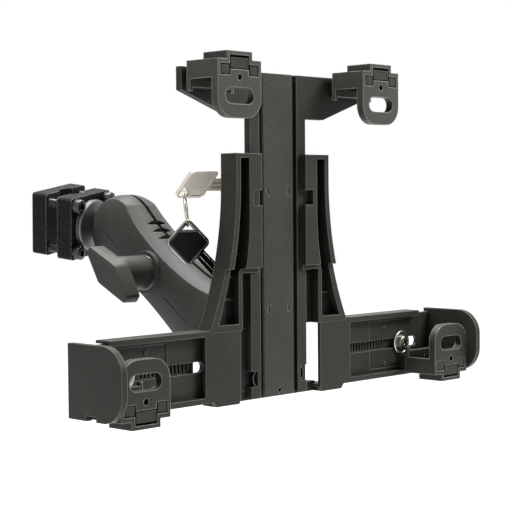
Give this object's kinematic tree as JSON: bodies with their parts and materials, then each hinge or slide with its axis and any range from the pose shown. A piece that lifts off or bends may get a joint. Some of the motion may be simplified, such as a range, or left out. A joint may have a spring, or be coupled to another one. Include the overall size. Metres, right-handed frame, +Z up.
{
  "type": "headrest tablet mount",
  "caption": "Clamp for a headrest post, a two ball arm with a wing knob, and an adjustable cradle with hooks and a key lock that holds a tablet by its edges.",
  "frame": {"origin": "centre of the post groove between the clamp's jaws", "axes": "+X to the right of a person who faces the cradle, +Y from the cradle towards the seat, +Z up; the post groove leans a little in this frame, as in the picture"},
  "size_m": [0.283, 0.2217, 0.1837],
  "materials": {
    "cradle_plastic": "fine moulded grain",
    "column_plastic": "fine moulded grain",
    "hook_plastic": "fine moulded grain",
    "pad_rubber": "rough",
    "arm_paint": "powder coat",
    "ball_rubber": "rubber coated ball",
    "clamp_paint": "black anodised",
    "black_steel": "black oxide",
    "zinc_steel": "zinc plated",
    "key_metal": "nickel plated",
    "key_inlay": "dark recess",
    "knob_plastic": "satin",
    "spring_steel": "plain"
  },
  "bodies": {
    "clamp": {"inner_jaw": "clamp_paint", "clamp_screws": "black_steel", "ball_flange": "clamp_paint"},
    "outer_jaw": {"outer_jaw": "clamp_paint"},
    "clamp_ball": {"clamp_ball": "ball_rubber"},
    "arm": {"arm_half_near": "arm_paint", "arm_half_far": "arm_paint", "arm_bolt": "zinc_steel", "arm_spring": "spring_steel", "knob_washer": "black_steel"},
    "knob": {"wing_knob": "knob_plastic"},
    "holder_ball": {"holder_ball": "ball_rubber"},
    "cradle": {"holder_flange": "clamp_paint", "flange_screws": "black_steel", "base_frame": "cradle_plastic", "lock_housing": "cradle_plastic", "lock_barrel": "key_metal", "slide_washers": "zinc_steel", "slide_screws": "zinc_steel"},
    "plug": {"lock_plug": "key_metal", "lock_key": "key_metal"},
    "ring": {"key_ring": "key_metal"},
    "spare": {"spare_key": "key_metal", "spare_key_inlay": "key_inlay"},
    "upper": {"upper_frame": "cradle_plastic", "column_bar": "column_plastic", "foot_springs": "spring_steel", "upper_hook_screws": "black_steel", "hook_upper_left": "hook_plastic", "hook_upper_right": "hook_plastic", "pad_upper_left": "pad_rubber", "pad_upper_right": "pad_rubber"},
    "left_arm": {"side_arm_left": "cradle_plastic", "hook_lower_left": "hook_plastic", "pad_lower_left": "pad_rubber", "hook_screw_left": "black_steel"},
    "right_arm": {"side_arm_right": "cradle_plastic", "hook_lower_right": "hook_plastic", "pad_lower_right": "pad_rubber", "hook_screw_right": "black_steel"}
  },
  "joints": [
    {"name": "jaw_slide", "type": "slide", "parent": "clamp", "child": "outer_jaw", "axis": [-0.2586, 0.9576, 0.1273], "range_m": [-0.005, 0.005]},
    {"name": "clamp_swivel", "type": "hinge", "parent": "clamp", "child": "clamp_ball", "pos_m": [0.01106, -0.04093, -0.00544], "axis": [-0.2586, 0.9576, 0.1273], "range_deg": [-45, 45]},
    {"name": "clamp_tilt", "type": "hinge", "parent": "clamp_ball", "child": "arm", "pos_m": [0.01106, -0.04093, -0.00544], "axis": [1, 0, 0], "range_deg": [-20, 20]},
    {"name": "knob_turn", "type": "hinge", "parent": "arm", "child": "knob", "pos_m": [-0.01395, -0.07452, -0.02896], "axis": [1, 0, 0], "range_deg": [-180, 180]},
    {"name": "holder_tilt", "type": "hinge", "parent": "arm", "child": "holder_ball", "pos_m": [0.01106, -0.11466, -0.05707], "axis": [1, 0, 0], "range_deg": [-20, 20]},
    {"name": "holder_turn", "type": "hinge", "parent": "holder_ball", "child": "cradle", "pos_m": [0.01106, -0.11466, -0.05707], "axis": [0, 1, 0], "range_deg": [-90, 90]},
    {"name": "key_turn", "type": "hinge", "parent": "cradle", "child": "plug", "pos_m": [-0.00894, -0.14916, 0.02203], "axis": [1, 0, 0], "range_deg": [0, 90]},
    {"name": "ring_swing", "type": "hinge", "parent": "plug", "child": "ring", "pos_m": [-0.03895, -0.14477, 0.01765], "axis": [0.7169, 0.6972, 0], "range_deg": [-3, 15]},
    {"name": "spare_swing", "type": "hinge", "parent": "ring", "child": "spare", "pos_m": [-0.03596, -0.14458, -0.00077], "axis": [0.342, 0.9397, 0], "range_deg": [-15, 15]},
    {"name": "column_lift", "type": "slide", "parent": "cradle", "child": "upper", "axis": [0, 0, 1], "range_m": [0, 0.06]},
    {"name": "left_slide", "type": "slide", "parent": "cradle", "child": "left_arm", "axis": [-1, 0, 0], "range_m": [-0.012, 0.048]},
    {"name": "right_slide", "type": "slide", "parent": "cradle", "child": "right_arm", "axis": [1, 0, 0], "range_m": [-0.012, 0.048]}
  ]
}
